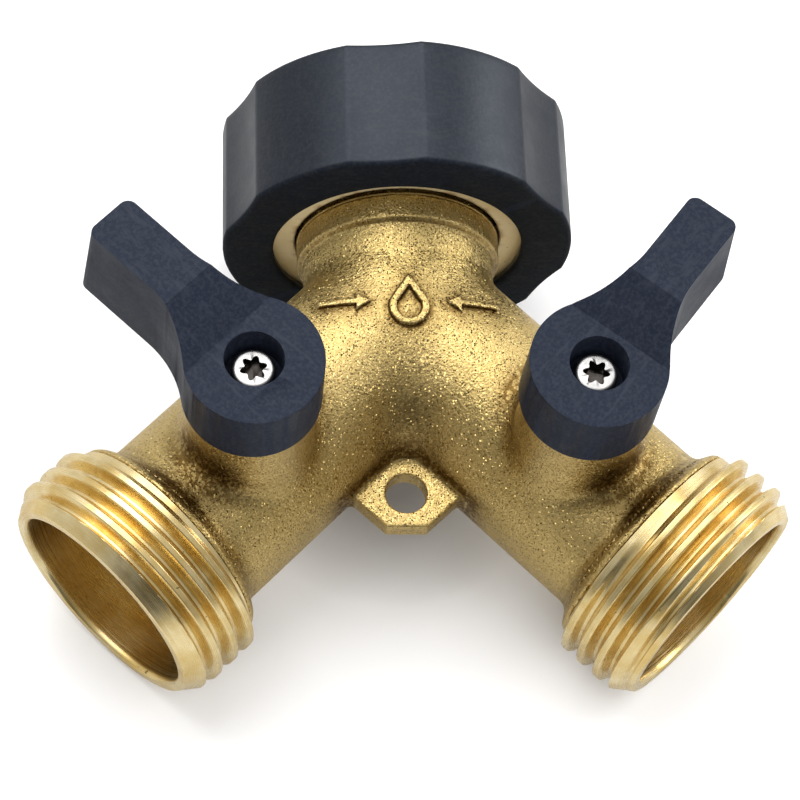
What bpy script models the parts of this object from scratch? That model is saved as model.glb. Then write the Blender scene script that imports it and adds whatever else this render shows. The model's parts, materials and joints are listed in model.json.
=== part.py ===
"""Two-way brass hose splitter with two ball valves and a swivel inlet nut.

Every piece is modelled in the port frame: the inlet runs along +Y, the two outlets run
forward and outward in the XY plane, and the valve stems point along +Z.  The empty
"rest_pose" then tips that frame about X, so that the splitter lies on the plane z = 0 as
the real one does, on its swivel nut and on the lips of its two outlets.
"""
import math

import bmesh
import bpy
from mathutils import Matrix, Vector

# ---- driving dimensions, in metres ---------------------------------------------------
GAP = 0.0003                       # clearance kept between pieces that touch

# outlets (3/4 inch garden hose thread, male)
OUTLET_ANGLE = math.radians(44.6)  # each outlet's axis, measured from -Y
MOUTH_S = 0.0444                   # outlet mouth face, along the outlet's axis
ARM_R = 0.0101                     # cast arm
THREAD_R = 0.01345                 # crest of the hose thread
THREAD_ROOT_R = 0.0122
THREAD_PITCH = 0.0022087           # 11.5 threads per inch
THREAD_START_S = 0.0350
MOUTH_BORE_R = 0.01085
MOUTH_BORE_S = 0.0344              # floor of the wide mouth bore
CHAMBER_R = 0.0080                 # ball chamber
CHAMBER_S = 0.0155
PASSAGE_R = 0.0046                 # way through each valve

# valves
VALVE_S = 0.02355                  # stem axis, along the outlet's axis
BALL_R = 0.0073
BOSS_R = 0.0063
BOSS_TOP = 0.0175
STEM_R = 0.0030
STEM_BORE_R = STEM_R + GAP
STEM_COLLAR_R = 0.0039
POCKET_TOP = 0.0103                # roof of the stem collar's pocket
STEM_TOP = 0.0200
STEM_SQUARE = 0.0040               # drive square, across flats
O_RING_Z = (0.0122, 0.0150)
O_RING_R = 0.0025
O_RING_WIRE_R = 0.0006

# levers
LEVER_BOTTOM = 0.0180
HUB_R = 0.0068
HUB_TOP = 0.0253
ARM_TOP = 0.0286
LEVER_LENGTH = 0.0205              # at its foot, from the hub's centre to the tip
LEVER_HALF_WIDTH = 0.00325         # at its foot
LEVER_DRAFT = 0.0005               # how much each side leans in up to ARM_TOP
LEVER_TIP_DRAFT = 0.0010
LEVER_FILLET_R = 0.0110            # waist, from the hub to the arm
RAMP_U = (0.0036, 0.0087)          # foot and head of the ramp up to the arm
RECESS_R = 0.0029
RECESS_FLOOR = 0.0213
SCREW_HEAD_R = 0.0022
SCREW_HEAD_TOP = 0.0232
SCREW_R = 0.00105
LEFT_LEVER_ANGLE = math.radians(136)   # from +X: on its shut stop, square to its arm
RIGHT_LEVER_ANGLE = math.radians(52)   # 8 degrees open of its shut stop

# inlet
NECK_R = 0.0109
NECK_WAIST_R = 0.0099
SPIGOT_R = 0.0105
SPIGOT_END = 0.0157
INLET_BORE_R = 0.0070
RING_Y = 0.0137                    # retaining ring in its groove
RING_WIRE_R = 0.0007
NUT_FLANGE_Y = 0.01073
NUT_FLANGE_T = 0.0017
NUT_MOUTH_Y = 0.0240
NUT_OUTER_R = 0.0156
NUT_BORE_R = 0.0135
NUT_THREAD_CREST_R = 0.01255
GRIP_NEAR_Y = 0.0094
GRIP_FAR_Y = 0.0243
GRIP_R = 0.01896
GRIP_HOLE_R = 0.0135
GRIP_FLUTES = 6
GRIP_FLUTE_ANGLE = math.radians(24)
GRIP_FLUTE_DEPTH = 0.0007
GRIP_PHASE = math.radians(98)      # middle of one flute, from +X towards +Z

# hanging tab in the crotch
TAB_HALF_T = 0.0011
TAB_HOLE_Y = -0.0198
TAB_HOLE_R = 0.00212
TAB_FRONT_Y = -0.0236

SEGMENTS = 36
THREAD_STEPS = 24                  # facets in one turn of a thread


# ---- materials -----------------------------------------------------------------------
def material(name, colour, roughness, metallic):
    """A Principled BSDF material with one plain finish."""
    mat = bpy.data.materials.new(name)
    mat.use_nodes = True
    shader = mat.node_tree.nodes["Principled BSDF"]
    shader.inputs["Base Color"].default_value = (*colour, 1.0)
    shader.inputs["Roughness"].default_value = roughness
    shader.inputs["Metallic"].default_value = metallic
    return mat


def make_materials():
    return {
        "cast_brass": material("cast_brass", (0.58, 0.38, 0.11), 0.42, 1.0),
        "turned_brass": material("turned_brass", (0.72, 0.50, 0.16), 0.25, 1.0),
        "black_rubber": material("black_rubber", (0.018, 0.020, 0.026), 0.60, 0.0),
        "black_plastic": material("black_plastic", (0.024, 0.026, 0.034), 0.50, 0.0),
        "seal_rubber": material("seal_rubber", (0.012, 0.012, 0.012), 0.65, 0.0),
        "seat_plastic": material("seat_plastic", (0.82, 0.81, 0.76), 0.45, 0.0),
        "bright_steel": material("bright_steel", (0.66, 0.66, 0.68), 0.22, 1.0),
        "plated_ball": material("plated_ball", (0.78, 0.78, 0.80), 0.12, 1.0),
    }


# ---- building blocks -----------------------------------------------------------------
def clear_scene():
    for old in list(bpy.data.objects):
        bpy.data.objects.remove(old, do_unlink=True)


def empty(name, matrix, parent=None):
    obj = bpy.data.objects.new(name, None)
    obj.empty_display_size = 0.01
    bpy.context.scene.collection.objects.link(obj)
    obj.parent = parent
    obj.matrix_basis = matrix
    return obj


def solid(name, bm, mat, parent, matrix=None):
    """Turn a bmesh into a named object under parent, placed there by matrix."""
    bmesh.ops.recalc_face_normals(bm, faces=bm.faces)
    mesh = bpy.data.meshes.new(name)
    bm.to_mesh(mesh)
    bm.free()
    mesh.shade_smooth()
    mesh.set_sharp_from_angle(angle=math.radians(35))
    obj = bpy.data.objects.new(name, mesh)
    if mat is not None:
        mesh.materials.append(mat)
    bpy.context.scene.collection.objects.link(obj)
    obj.parent = parent
    obj.matrix_basis = matrix or Matrix.Identity(4)
    return obj


def combine(obj, other, operation, solver="EXACT"):
    """Join or cut obj with a guide object, which the build leaves out."""
    other.hide_render = True
    other.display_type = "WIRE"
    mod = obj.modifiers.new(other.name, "BOOLEAN")
    mod.operation = operation
    mod.solver = solver
    mod.object = other


def join(obj, *others, solver="EXACT"):
    for other in others:
        combine(obj, other, "UNION", solver)


def cut(obj, *others, solver="EXACT"):
    for other in others:
        combine(obj, other, "DIFFERENCE", solver)


def turned(profile, segments=SEGMENTS):
    """Spin a closed outline of (along, radius) points about Z.

    Points at radius 0 lie on the axis and are merged there.
    """
    bm = bmesh.new()
    verts = [bm.verts.new((radius, 0.0, along)) for along, radius in profile]
    edges = [bm.edges.new(pair) for pair in zip(verts, verts[1:] + verts[:1])
             if pair[0].co.x > 0.0 or pair[1].co.x > 0.0]
    bmesh.ops.spin(bm, geom=verts + edges, axis=(0, 0, 1), cent=(0, 0, 0),
                   angle=2 * math.pi, steps=segments, use_merge=True)
    bmesh.ops.remove_doubles(bm, verts=bm.verts, dist=1e-6)
    return bm


def rod(radius, low, high, segments=SEGMENTS):
    return turned([(low, 0.0), (low, radius), (high, radius), (high, 0.0)], segments)


def tube(inner, outer, low, high, segments=SEGMENTS):
    return turned([(low, inner), (low, outer), (high, outer), (high, inner)], segments)


def prism(outline, low, high):
    """Extrude a plane outline of (x, y) points along Z."""
    bm = bmesh.new()
    face = bm.faces.new([bm.verts.new((x, y, low)) for x, y in outline])
    grown = bmesh.ops.extrude_face_region(bm, geom=[face])["geom"]
    top = [item for item in grown if isinstance(item, bmesh.types.BMVert)]
    bmesh.ops.translate(bm, verts=top, vec=(0, 0, high - low))
    return bm


def rectangle(half_x, half_y):
    return [(-half_x, -half_y), (half_x, -half_y), (half_x, half_y), (-half_x, half_y)]


def arc(centre, radius, start, end, steps):
    """Points on a circle from the angle start to the angle end, both included."""
    points = []
    for step in range(steps + 1):
        angle = start + (end - start) * step / steps
        points.append((centre[0] + radius * math.cos(angle),
                       centre[1] + radius * math.sin(angle)))
    return points


def loop_of_rings(rings, closed):
    """Skin a list of equal vertex rings; closed also joins the last ring to the first."""
    bm = bmesh.new()
    loops = [[bm.verts.new(co) for co in ring] for ring in rings]
    pairs = list(zip(loops, loops[1:]))
    if closed:
        pairs.append((loops[-1], loops[0]))
    for low, high in pairs:
        for a in range(len(low)):
            b = (a + 1) % len(low)
            bm.faces.new((low[a], low[b], high[b], high[a]))
    if not closed:
        bm.faces.new(loops[0])
        bm.faces.new(loops[-1])
    return bm


def thread_ridge(root_r, crest_r, start, end):
    """One right-hand helical ridge about Z whose height fades in and out at its ends."""
    turns = (end - start) / THREAD_PITCH
    steps = round(turns * THREAD_STEPS)
    fade = THREAD_STEPS / 5
    foot = 0.45 * THREAD_PITCH
    crest = 0.12 * THREAD_PITCH
    rings = []
    for step in range(steps + 1):
        angle = 2 * math.pi * step / THREAD_STEPS
        middle = start + THREAD_PITCH * step / THREAD_STEPS
        share = min(1.0, (step + 0.5) / fade, (steps - step + 0.5) / fade)
        radius = root_r + (crest_r - root_r) * share
        section = ((root_r, -foot), (radius, -crest), (radius, crest), (root_r, foot))
        rings.append([(r * math.cos(angle), r * math.sin(angle), middle + along)
                      for r, along in section])
    return loop_of_rings(rings, closed=False)


def wire_ring(major_r, wire_r, gap_angle, steps=32, sides=8):
    """A ring of round wire about Z; gap_angle opens it into a C."""
    sweep = 2 * math.pi - gap_angle
    count = steps if gap_angle == 0 else steps + 1
    rings = []
    for step in range(count):
        turn = Matrix.Rotation(gap_angle / 2 + sweep * step / steps, 4, "Z")
        section = arc((major_r, 0.0), wire_r, 0.0, 2 * math.pi, sides)[:-1]
        rings.append([turn @ Vector((r, 0.0, along)) for r, along in section])
    return loop_of_rings(rings, closed=gap_angle == 0)


# ---- frames --------------------------------------------------------------------------
def outlet_frame(side):
    """Z runs out along the outlet's axis, and Y stays up."""
    out = Vector((side * math.sin(OUTLET_ANGLE), -math.cos(OUTLET_ANGLE), 0.0))
    up = Vector((0.0, 0.0, 1.0))
    across = up.cross(out)
    return Matrix((across, up, out)).transposed().to_4x4()


def inlet_frame():
    """Z runs along +Y, out of the inlet."""
    return Matrix.Rotation(-math.pi / 2, 4, "X")


def valve_place(side):
    out = VALVE_S * Vector((side * math.sin(OUTLET_ANGLE), -math.cos(OUTLET_ANGLE), 0.0))
    return Matrix.Translation(out)


# ---- brass body ----------------------------------------------------------------------
def limb_solid():
    """Outside of one arm with its threaded end, from the junction to the mouth."""
    return turned([
        (0.0, 0.0), (0.0, ARM_R), (0.0324, ARM_R), (0.0333, ARM_R + 0.0008),
        (0.0341, THREAD_ROOT_R), (MOUTH_S - 0.0006, THREAD_ROOT_R),
        (MOUTH_S, THREAD_ROOT_R - 0.0005), (MOUTH_S, 0.0)])


def limb_bore():
    """The way through one arm: passage, ball chamber and mouth bore."""
    return turned([
        (-0.0010, 0.0), (-0.0010, PASSAGE_R), (CHAMBER_S, PASSAGE_R),
        (CHAMBER_S, CHAMBER_R), (MOUTH_BORE_S, CHAMBER_R),
        (MOUTH_BORE_S, MOUTH_BORE_R), (MOUTH_S + 0.001, MOUTH_BORE_R),
        (MOUTH_S + 0.001, 0.0)])


def neck_solid():
    """The cast neck, its collar and the turned spigot that carries the nut."""
    groove = RING_WIRE_R + GAP
    return turned([
        (-0.0005, 0.0), (-0.0005, ARM_R), (0.0020, ARM_R), (0.0036, ARM_R - 0.0001),
        (0.0050, NECK_WAIST_R), (0.0064, NECK_R - 0.0005), (0.0071, NECK_R - 0.0004),
        (0.0074, NECK_R), (NUT_FLANGE_Y - GAP, NECK_R),
        (NUT_FLANGE_Y - GAP, SPIGOT_R), (RING_Y - groove, SPIGOT_R),
        (RING_Y - groove, SPIGOT_R - 0.0007), (RING_Y + groove, SPIGOT_R - 0.0007),
        (RING_Y + groove, SPIGOT_R), (SPIGOT_END - 0.0004, SPIGOT_R),
        (SPIGOT_END, SPIGOT_R - 0.0004), (SPIGOT_END, 0.0)])


def boss_solid():
    """Round boss under the lever, with a small flare where it leaves the arm."""
    return turned([
        (0.0050, 0.0), (0.0050, BOSS_R + 0.0008), (0.0105, BOSS_R + 0.0006),
        (0.0120, BOSS_R), (BOSS_TOP - 0.0003, BOSS_R), (BOSS_TOP, BOSS_R - 0.0003),
        (BOSS_TOP, 0.0)], 28)


def stem_bore():
    return turned([
        (0.0, 0.0), (0.0, STEM_COLLAR_R + GAP), (POCKET_TOP, STEM_COLLAR_R + GAP),
        (POCKET_TOP, STEM_BORE_R), (BOSS_TOP + 0.001, STEM_BORE_R),
        (BOSS_TOP + 0.001, 0.0)], 24)


def tab_outline():
    """A flat tab in the crotch, with its front corner cut off."""
    return [(-0.0054, -0.0120), (-0.0055, -0.0204), (-0.0021, TAB_FRONT_Y),
            (0.0021, TAB_FRONT_Y), (0.0055, -0.0204), (0.0054, -0.0120)]


def arrow_outline(side):
    """A flat arrow that points to the middle of the body from its side."""
    right = [(0.0040, 0.0), (0.0053, 0.0010), (0.0053, 0.00035), (0.0094, 0.00035),
             (0.0094, -0.00035), (0.0053, -0.00035), (0.0053, -0.0010)]
    return [(side * x, y) for x, y in right]


def drop_outline():
    """A water drop, point up."""
    round_part = arc((0.0, -0.0009), 0.0016, math.radians(155), math.radians(385), 14)
    return [(0.0, 0.0028)] + round_part


def raised_marks(base):
    """The cast mark between the levers: a drop, with an arrow on each side of it."""
    place = Matrix.Translation((0.0, -0.0022, 0.0))
    top = ARM_R + 0.00035
    shapes = (("mark_drop", drop_outline(), top),
              ("mark_arrow_left", arrow_outline(-1), top - 0.0006),
              ("mark_arrow_right", arrow_outline(1), top - 0.0006))
    return [solid(name, prism(outline, 0.0085, high), None, base, place)
            for name, outline, high in shapes]


def body_additions(base):
    """Guides for everything that the left limb is joined to."""
    ridge_span = (THREAD_START_S, MOUTH_S - 0.0012)
    added = [solid("limb_right", limb_solid(), None, base, outlet_frame(1))]
    for side, label in ((-1, "left"), (1, "right")):
        ridge = thread_ridge(THREAD_ROOT_R - 0.0004, THREAD_R, *ridge_span)
        added.append(solid("thread_" + label, ridge, None, base, outlet_frame(side)))
        added.append(solid("boss_" + label, boss_solid(), None, base, valve_place(side)))
    added.append(solid("neck", neck_solid(), None, base, inlet_frame()))
    tab = prism(tab_outline(), -TAB_HALF_T, TAB_HALF_T)
    added.append(solid("tab", tab, None, base))
    return added + raised_marks(base)


def body_cutters(base):
    """Guides for the waterways, the stem bores and the tab's hole."""
    cutters = []
    for side, label in ((-1, "left"), (1, "right")):
        frame = outlet_frame(side)
        cutters.append(solid("limb_bore_" + label, limb_bore(), None, base, frame))
        place = valve_place(side)
        cutters.append(solid("stem_bore_" + label, stem_bore(), None, base, place))
    inlet_bore = rod(INLET_BORE_R, -0.0020, SPIGOT_END + 0.001)
    cutters.append(solid("inlet_bore", inlet_bore, None, base, inlet_frame()))
    hole = rod(TAB_HOLE_R, -0.003, 0.003, 24)
    place = Matrix.Translation((0.0, TAB_HOLE_Y, 0.0))
    cutters.append(solid("tab_hole", hole, None, base, place))
    return cutters


def make_body(mats, base):
    """The casting.  EXACT leaves open edges where its limbs and threads cross."""
    body = solid("body", limb_solid(), mats["cast_brass"], base, outlet_frame(-1))
    join(body, *body_additions(base), solver="MANIFOLD")
    cut(body, *body_cutters(base), solver="MANIFOLD")


# ---- swivel inlet --------------------------------------------------------------------
def nut_solid():
    floor = NUT_FLANGE_Y + NUT_FLANGE_T
    return turned([
        (NUT_FLANGE_Y, SPIGOT_R + 0.0007), (NUT_FLANGE_Y, NUT_OUTER_R),
        (NUT_MOUTH_Y, NUT_OUTER_R), (NUT_MOUTH_Y, NUT_BORE_R + 0.0003),
        (NUT_MOUTH_Y - 0.0004, NUT_BORE_R), (floor, NUT_BORE_R),
        (floor, SPIGOT_R + 0.0007)])


def grip_radius(angle):
    """Radius of the grip's outline: round lobes with shallow flutes between them."""
    step = 2 * math.pi / GRIP_FLUTES
    off = (angle - GRIP_PHASE + step / 2) % step - step / 2
    share = abs(off) / (GRIP_FLUTE_ANGLE / 2)
    if share >= 1.0:
        return GRIP_R
    return GRIP_R - GRIP_FLUTE_DEPTH * (1.0 - share ** 2)


def grip_ring(along, radius_of):
    count = 60
    ring = []
    for step in range(count):
        angle = 2 * math.pi * step / count
        radius = radius_of(angle)
        # local X is world X, and local -Y is world +Z
        ring.append((radius * math.cos(angle), -radius * math.sin(angle), along))
    return ring


def grip_solid():
    """The rubber sleeve: fluted outside, stepped inside around the nut."""
    edge = 0.0004
    shoulder = NUT_FLANGE_Y - GAP
    outer = [grip_ring(GRIP_NEAR_Y, lambda a: grip_radius(a) - edge),
             grip_ring(GRIP_NEAR_Y + edge, grip_radius),
             grip_ring(GRIP_FAR_Y - edge, grip_radius),
             grip_ring(GRIP_FAR_Y, lambda a: grip_radius(a) - edge)]
    inner = [grip_ring(GRIP_FAR_Y, lambda a: NUT_OUTER_R + GAP),
             grip_ring(shoulder, lambda a: NUT_OUTER_R + GAP),
             grip_ring(shoulder, lambda a: GRIP_HOLE_R),
             grip_ring(GRIP_NEAR_Y, lambda a: GRIP_HOLE_R)]
    return loop_of_rings(outer + inner, closed=True)


def make_inlet(mats, base):
    inlet = inlet_frame()
    swivel = empty("swivel_axis", inlet, base)
    nut = solid("swivel_nut", nut_solid(), mats["turned_brass"], swivel)
    washer_low = SPIGOT_END + GAP
    washer_high = washer_low + 0.0024
    ridge = thread_ridge(NUT_BORE_R + 0.0003, NUT_THREAD_CREST_R,
                         washer_high + 0.0014, NUT_MOUTH_Y - 0.0014)
    join(nut, solid("nut_thread", ridge, None, swivel))
    solid("nut_grip", grip_solid(), mats["black_rubber"], swivel)
    solid("hose_washer", tube(INLET_BORE_R + 0.0006, NUT_BORE_R - 0.0004, washer_low,
                              washer_high), mats["seal_rubber"], swivel)
    centre_r = SPIGOT_R - 0.0007 + GAP + RING_WIRE_R
    solid("retaining_ring", wire_ring(centre_r, RING_WIRE_R, math.radians(28)),
          mats["bright_steel"], base, inlet @ Matrix.Translation((0, 0, RING_Y)))


# ---- valves --------------------------------------------------------------------------
def lever_outline(lean, height):
    """Plan of the lever at one height, its hub at the origin and its arm along +X."""
    hub_r = HUB_R + 0.0001 - 0.3 * lean
    half_width = LEVER_HALF_WIDTH - lean
    length = LEVER_LENGTH - lean * LEVER_TIP_DRAFT / LEVER_DRAFT
    reach = hub_r + LEVER_FILLET_R
    offset = half_width + LEVER_FILLET_R
    join_angle = math.asin(offset / reach)
    fillet_x = math.sqrt(reach ** 2 - offset ** 2)
    corner = 0.0010
    hub = arc((0.0, 0.0), hub_r, join_angle, 2 * math.pi - join_angle, 28)
    waist = arc((fillet_x, -offset), LEVER_FILLET_R, math.pi - join_angle, math.pi / 2, 7)
    tip = arc((length - corner, corner - half_width), corner, -math.pi / 2, 0.0, 4)
    lower = waist[1:] + tip
    upper = [(x, -y) for x, y in reversed(lower)]
    return [(x, y, height) for x, y in hub + lower + upper]


def lever_side():
    """Side view of the lever in (along, height), which trims the outline's prism."""
    low = LEVER_BOTTOM - 0.002
    far = LEVER_LENGTH + 0.002
    return [(-0.009, low), (far, low), (far, ARM_TOP), (RAMP_U[1], ARM_TOP),
            (RAMP_U[0], HUB_TOP), (-0.009, HUB_TOP)]


def lever_parts(name, mats, axis):
    foot = lever_outline(0.0, LEVER_BOTTOM)
    head = lever_outline(LEVER_DRAFT * 1.1, ARM_TOP + 0.001)
    blank = loop_of_rings([foot, head], closed=False)
    lever = solid(name, blank, mats["black_plastic"], axis)
    side = solid(name + "_side", prism(lever_side(), -0.009, 0.009), None, axis,
                 Matrix.Rotation(math.pi / 2, 4, "X"))
    combine(lever, side, "INTERSECT")
    cut(lever,
        solid(name + "_recess", rod(RECESS_R, RECESS_FLOOR, HUB_TOP + 0.004, 28), None, axis),
        solid(name + "_socket", prism(rectangle(STEM_SQUARE / 2 + GAP, STEM_SQUARE / 2 + GAP),
                                      LEVER_BOTTOM - 0.001, STEM_TOP + GAP), None, axis),
        solid(name + "_screw_hole", rod(SCREW_R + GAP, LEVER_BOTTOM, HUB_TOP, 20), None, axis))


def screw_parts(name, mats, axis):
    """Pan-head screw with a six-lobed socket."""
    under = RECESS_FLOOR + GAP
    edge = 0.0004
    screw = solid(name, turned([
        (0.0140, 0.0), (0.0140, SCREW_R), (under, SCREW_R), (under, SCREW_HEAD_R),
        (SCREW_HEAD_TOP - edge, SCREW_HEAD_R), (SCREW_HEAD_TOP, SCREW_HEAD_R - edge),
        (SCREW_HEAD_TOP, 0.0)], 24), mats["bright_steel"], axis)
    star = []
    for lobe in range(12):
        radius = 0.00115 if lobe % 2 == 0 else 0.00080
        angle = math.pi * lobe / 6
        star.append((radius * math.cos(angle), radius * math.sin(angle)))
    cut(screw, solid(name + "_socket", prism(star, SCREW_HEAD_TOP - 0.0010,
                                             SCREW_HEAD_TOP + 0.001), None, axis))


def stem_parts(name, mats, axis):
    """Stem: a tang in the ball, a collar, two seal grooves and a drive square."""
    groove_r = O_RING_R - O_RING_WIRE_R - 0.00025
    groove_half = O_RING_WIRE_R + 0.00025
    collar_low = 0.0079
    collar_high = 0.0091
    profile = [(collar_low, 0.0), (collar_low, STEM_COLLAR_R), (collar_high, STEM_COLLAR_R),
               (collar_high, STEM_R)]
    for height in O_RING_Z:
        profile += [(height - groove_half, STEM_R), (height - groove_half, groove_r),
                    (height + groove_half, groove_r), (height + groove_half, STEM_R)]
    profile += [(BOSS_TOP, STEM_R), (BOSS_TOP, 0.0)]
    stem = solid(name, turned(profile, 20), mats["turned_brass"], axis)
    half = STEM_SQUARE / 2
    join(stem,
         solid(name + "_square", prism(rectangle(half, half), BOSS_TOP - 0.0004, STEM_TOP),
               None, axis),
         solid(name + "_tang", prism(rectangle(0.0030, 0.0010), 0.0056, collar_low + 0.0004),
               None, axis))
    cut(stem, solid(name + "_screw_hole", rod(SCREW_R + GAP, 0.0136, STEM_TOP + 0.001, 20),
                    None, axis))


def ball_parts(name, mats, axis):
    """Ball with its way through along the lever, and a slot for the stem's tang."""
    bm = bmesh.new()
    bmesh.ops.create_uvsphere(bm, u_segments=24, v_segments=12, radius=BALL_R)
    ball = solid(name, bm, mats["plated_ball"], axis)
    along = Matrix.Rotation(math.pi / 2, 4, "Y")
    cut(ball,
        solid(name + "_way", rod(PASSAGE_R, -0.010, 0.010, 24), None, axis, along),
        solid(name + "_slot", prism(rectangle(0.0080, 0.0013), 0.0053, 0.0090), None, axis))


def seat_solid(side):
    """Seat ring on one side of the ball, coned where it faces the ball."""
    back = VALVE_S - CHAMBER_S - GAP
    outer = CHAMBER_R - GAP
    profile = [(back, PASSAGE_R), (back, outer), (0.0038, outer), (0.0038, 0.0070),
               (0.0058, 0.0051), (0.0061, PASSAGE_R)]
    return turned([(VALVE_S + side * along, radius) for along, radius in profile], 32)


def retainer_solid():
    """Screwed ring behind the outer seat, with a hexagon hole for its key."""
    low = 2 * VALVE_S - CHAMBER_S
    return tube(PASSAGE_R, CHAMBER_R - GAP, low, MOUTH_BORE_S - 0.0003, 32)


def make_valve(side, label, lever_angle, mats, base):
    place = valve_place(side)
    axis = empty(label + "_valve_axis", place @ Matrix.Rotation(lever_angle, 4, "Z"), base)
    lever_parts(label + "_lever", mats, axis)
    screw_parts(label + "_lever_screw", mats, axis)
    stem_parts(label + "_stem", mats, axis)
    ball_parts(label + "_ball", mats, axis)
    for height, level in zip(O_RING_Z, ("lower", "upper")):
        solid(label + "_stem_o_ring_" + level, wire_ring(O_RING_R, O_RING_WIRE_R, 0, 20, 6),
              mats["seal_rubber"], axis, Matrix.Translation((0, 0, height)))
    solid(label + "_stem_washer", tube(STEM_BORE_R, STEM_COLLAR_R, 0.0094, 0.0100, 28),
          mats["seat_plastic"], axis)
    frame = outlet_frame(side)
    solid(label + "_seat_inner", seat_solid(-1), mats["seat_plastic"], base, frame)
    solid(label + "_seat_outer", seat_solid(1), mats["seat_plastic"], base, frame)
    retainer = solid(label + "_ball_retainer", retainer_solid(), mats["turned_brass"],
                     base, frame)
    key = rod(PASSAGE_R + 0.0009, MOUTH_BORE_S - 0.0019, MOUTH_BORE_S + 0.001, 6)
    cut(retainer, solid(label + "_retainer_key", key, None, base, frame))


# ---- resting pose --------------------------------------------------------------------
def rest_tilt():
    """Angle about X at which the nut's near rim and the two lips share one plane."""
    lip_y = (MOUTH_S - 0.0012) * math.cos(OUTLET_ANGLE)
    return math.atan2(GRIP_R - THREAD_R, GRIP_NEAR_Y + lip_y)


def stand_on_floor(base):
    """Tip the port frame, then put the lowest point at z = 0 and centre x and y."""
    base.matrix_basis = Matrix.Rotation(rest_tilt(), 4, "X")
    bpy.context.view_layer.update()
    graph = bpy.context.evaluated_depsgraph_get()
    points = []
    for obj in bpy.data.objects:
        if obj.type == "MESH" and not obj.hide_render:
            mesh = obj.evaluated_get(graph).data
            points += [obj.matrix_world @ vert.co for vert in mesh.vertices]
    low = Vector([min(point[k] for point in points) for k in range(3)])
    high = Vector([max(point[k] for point in points) for k in range(3)])
    shift = Vector((-(low.x + high.x) / 2, -(low.y + high.y) / 2, -low.z))
    base.matrix_basis = Matrix.Translation(shift) @ base.matrix_basis


def main():
    clear_scene()
    mats = make_materials()
    base = empty("rest_pose", Matrix.Identity(4))
    make_body(mats, base)
    make_inlet(mats, base)
    make_valve(-1, "left", LEFT_LEVER_ANGLE, mats, base)
    make_valve(1, "right", RIGHT_LEVER_ANGLE, mats, base)
    stand_on_floor(base)


main()
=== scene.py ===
"""Looks for the two-way brass hose splitter.

Every piece is drawn in the port frame, in millimetres: the inlet runs along +Y, the outlets
run forward and outward in the XY plane, and the valve stems point along +Z.  The frame's
place in the world comes from the record's joints.
"""
import json
import math

import bmesh
import bpy
import numpy as np
from mathutils import Matrix, Vector


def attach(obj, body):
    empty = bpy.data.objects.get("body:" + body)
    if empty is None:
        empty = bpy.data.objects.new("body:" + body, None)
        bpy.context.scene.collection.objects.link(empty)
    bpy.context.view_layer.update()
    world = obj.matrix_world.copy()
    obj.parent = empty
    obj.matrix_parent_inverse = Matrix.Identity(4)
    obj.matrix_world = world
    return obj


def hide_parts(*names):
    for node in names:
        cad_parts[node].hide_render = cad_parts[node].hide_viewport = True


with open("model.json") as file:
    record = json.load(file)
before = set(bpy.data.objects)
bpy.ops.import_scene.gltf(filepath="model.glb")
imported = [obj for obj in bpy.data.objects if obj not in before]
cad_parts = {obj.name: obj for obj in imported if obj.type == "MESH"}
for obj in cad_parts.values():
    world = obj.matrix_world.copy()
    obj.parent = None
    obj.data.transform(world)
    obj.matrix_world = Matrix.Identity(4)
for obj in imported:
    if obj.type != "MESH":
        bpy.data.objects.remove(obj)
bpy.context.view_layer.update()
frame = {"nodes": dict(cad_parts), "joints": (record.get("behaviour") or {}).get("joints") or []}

MM = 0.001
TAU = 2 * math.pi

# ---- sizes of the casting, in millimetres --------------------------------------------
OUTLET_ANGLE = math.radians(44.6)   # each outlet's axis, measured from -Y
ARM_R = 10.1
PASSAGE_R = 4.6
CHAMBER_R = 8.0
CHAMBER_S = 15.5                    # start of the ball chamber, along the outlet
THREAD_ROOT_R = 12.2
THREAD_R = 13.45
THREAD_PITCH = 2.2087
THREAD_START_S = {-1: 34.2, 1: 34.9}    # sets the crests' places along each outlet
END_S = 33.9                        # back of the turned outlet end, inside the casting
CAST_END_S = 35.2                   # where the cast skin gives way to the thread
FIRST_CREST_S = 35.6                # the thread rises out of its root here
END_CUT_S = 34.2                    # the casting is cut away from here, inside END_CUT_R
END_CUT_R = 11.2
BORE_FLOOR_S = 34.4
BORE_R = 10.85
MOUTH_S = 44.4
VALVE_S = 23.55                     # stem axis, along the outlet
BOSS_R = 6.3
BOSS_TOP = 17.5
STEM_BORE_R = 3.3
INLET_BORE_R = 7.0
COLLAR_Y = 10.2                     # the cast neck ends here, just short of the nut
CASTING_LOW = (-34.0, -34.0, -12.8)     # box round the casting, in the port frame
CASTING_HIGH = (34.0, 11.1, 18.2)
VOXEL = 0.36
HOLLOW = "hollow"                   # vertex value: 0 in the open, 1 deep in a corner
PLACE = "place"                     # vertex value: the point in the piece's own frame


# ---- frames --------------------------------------------------------------------------
def joint(name):
    return next(j for j in frame["joints"] if j["name"] == name)


def port_frame():
    """The port frame in the world, from the swivel's and the valves' axes."""
    along = Vector(joint("nut_swivel")["axis"])
    up = Vector(joint("left_valve_turn")["axis"])
    left = Vector(joint("left_valve_turn")["pos_m"])
    right = Vector(joint("right_valve_turn")["pos_m"])
    half = (right - left).length / 2
    origin = (left + right) / 2 + along * half / math.tan(OUTLET_ANGLE)
    turn = Matrix((along.cross(up), along, up)).transposed().to_4x4()
    return Matrix.Translation(origin) @ turn


PORT = port_frame()
INLET = Matrix.Rotation(-math.pi / 2, 4, "X")      # Z runs out of the inlet


def outlet_frame(side):
    """Z runs out along the outlet's axis, and Y stays up."""
    out = Vector((side * math.sin(OUTLET_ANGLE), -math.cos(OUTLET_ANGLE), 0.0))
    up = Vector((0.0, 0.0, 1.0))
    return Matrix((up.cross(out), up, out)).transposed().to_4x4()


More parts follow.
